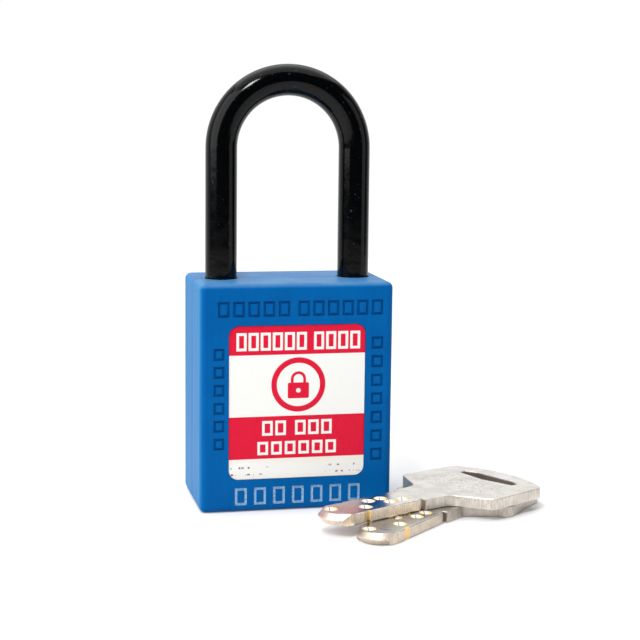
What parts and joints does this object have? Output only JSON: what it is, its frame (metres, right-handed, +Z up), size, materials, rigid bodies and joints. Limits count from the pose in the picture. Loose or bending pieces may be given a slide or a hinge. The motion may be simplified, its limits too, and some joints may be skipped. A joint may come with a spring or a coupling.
{
  "type": "safety padlock",
  "caption": "Keyed safety padlock with a moulded case, a U shackle locked by sliding bolts, a bottom-entry dimple-key cylinder and two flat keys lying beside it.",
  "frame": {"origin": "centre of the case's base, on the lock cylinder's axis", "axes": "+X right seen from the labelled front, +Y from the front to the back, +Z up along the lock cylinder and the shackle legs"},
  "size_m": [0.0677, 0.0504, 0.0864],
  "materials": {
    "body_blue": "moulded nylon, fine satin texture",
    "shackle_black": "smooth gloss nylon",
    "label": "laminated printed film",
    "brass": "machined",
    "key_nickel": "nickel silver, tumbled",
    "steel": "zinc plated"
  },
  "bodies": {
    "case": {"front_shell": "body_blue", "rear_shell": "body_blue", "front_label": "label", "rear_label": "label", "case_screws": "steel", "shackle_keeper": "steel", "shackle_spring": "steel", "cylinder_housing": "brass", "chamber_cap": "brass", "pin_spring_1": "steel", "pin_spring_2": "steel", "pin_spring_3": "steel", "pin_spring_4": "steel", "pin_spring_5": "steel", "pin_spring_6": "steel"},
    "plug": {"plug": "brass", "plug_clip": "steel", "drive_disc": "steel", "disc_screw": "steel"},
    "shackle": {"shackle": "shackle_black"},
    "right_bolt": {"right_bolt": "steel"},
    "left_bolt": {"left_bolt": "steel"},
    "lower_key": {"lower_key": "key_nickel"},
    "upper_key": {"upper_key": "key_nickel"},
    "key_pin_1": {"key_pin_1": "brass"},
    "driver_pin_1": {"driver_pin_1": "brass"},
    "key_pin_2": {"key_pin_2": "brass"},
    "driver_pin_2": {"driver_pin_2": "brass"},
    "key_pin_3": {"key_pin_3": "brass"},
    "driver_pin_3": {"driver_pin_3": "brass"},
    "key_pin_4": {"key_pin_4": "brass"},
    "driver_pin_4": {"driver_pin_4": "brass"},
    "key_pin_5": {"key_pin_5": "brass"},
    "driver_pin_5": {"driver_pin_5": "brass"},
    "key_pin_6": {"key_pin_6": "brass"},
    "driver_pin_6": {"driver_pin_6": "brass"}
  },
  "joints": [
    {"name": "plug_turn", "type": "hinge", "parent": "case", "child": "plug", "pos_m": [0, 0, 0], "axis": [0, 0, 1], "range_deg": [0, 90]},
    {"name": "shackle_lift", "type": "slide", "parent": "case", "child": "shackle", "axis": [0, 0, 1], "range_m": [0, 0.0106], "deforming": ["shackle_spring"]},
    {"name": "right_bolt_slide", "type": "slide", "parent": "case", "child": "right_bolt", "axis": [-1, 0, 0], "range_m": [0, 0.00396]},
    {"name": "left_bolt_slide", "type": "slide", "parent": "case", "child": "left_bolt", "axis": [1, 0, 0], "range_m": [0, 0.00396]},
    {"name": "driver_pin_1_slide", "type": "slide", "parent": "case", "child": "driver_pin_1", "axis": [1, 0, 0], "range_m": [0, 0.0008], "stiffness_N_per_m": 60, "springref_m": -0.002, "deforming": ["pin_spring_1"]},
    {"name": "key_pin_1_slide", "type": "slide", "parent": "plug", "child": "key_pin_1", "axis": [-1, 0, 0], "range_m": [0, 0.0005]},
    {"name": "driver_pin_2_slide", "type": "slide", "parent": "case", "child": "driver_pin_2", "axis": [1, 0, 0], "range_m": [0, 0.0008], "stiffness_N_per_m": 60, "springref_m": -0.002, "deforming": ["pin_spring_2"]},
    {"name": "key_pin_2_slide", "type": "slide", "parent": "plug", "child": "key_pin_2", "axis": [-1, 0, 0], "range_m": [0, 0.0005]},
    {"name": "driver_pin_3_slide", "type": "slide", "parent": "case", "child": "driver_pin_3", "axis": [1, 0, 0], "range_m": [0, 0.0008], "stiffness_N_per_m": 60, "springref_m": -0.002, "deforming": ["pin_spring_3"]},
    {"name": "key_pin_3_slide", "type": "slide", "parent": "plug", "child": "key_pin_3", "axis": [-1, 0, 0], "range_m": [0, 0.0005]},
    {"name": "driver_pin_4_slide", "type": "slide", "parent": "case", "child": "driver_pin_4", "axis": [1, 0, 0], "range_m": [0, 0.0008], "stiffness_N_per_m": 60, "springref_m": -0.002, "deforming": ["pin_spring_4"]},
    {"name": "key_pin_4_slide", "type": "slide", "parent": "plug", "child": "key_pin_4", "axis": [-1, 0, 0], "range_m": [0, 0.0005]},
    {"name": "driver_pin_5_slide", "type": "slide", "parent": "case", "child": "driver_pin_5", "axis": [1, 0, 0], "range_m": [0, 0.0008], "stiffness_N_per_m": 60, "springref_m": -0.002, "deforming": ["pin_spring_5"]},
    {"name": "key_pin_5_slide", "type": "slide", "parent": "plug", "child": "key_pin_5", "axis": [-1, 0, 0], "range_m": [0, 0.0005]},
    {"name": "driver_pin_6_slide", "type": "slide", "parent": "case", "child": "driver_pin_6", "axis": [1, 0, 0], "range_m": [0, 0.0008], "stiffness_N_per_m": 60, "springref_m": -0.002, "deforming": ["pin_spring_6"]},
    {"name": "key_pin_6_slide", "type": "slide", "parent": "plug", "child": "key_pin_6", "axis": [-1, 0, 0], "range_m": [0, 0.0005]},
    {"name": "lower_key_slide", "type": "slide", "parent": "case", "child": "lower_key", "axis": [0.7071, -0.7071, 0], "range_m": [0, 0.1]},
    {"name": "upper_key_lift", "type": "slide", "parent": "case", "child": "upper_key", "axis": [0, 0, 1], "range_m": [0, 0.1]}
  ],
  "couplings": [
    {"joint": "plug_turn", "follows": "shackle_lift", "rad_per_m": 148.18},
    {"joint": "right_bolt_slide", "follows": "shackle_lift", "ratio": 0.37358},
    {"joint": "left_bolt_slide", "follows": "shackle_lift", "ratio": 0.37358}
  ]
}
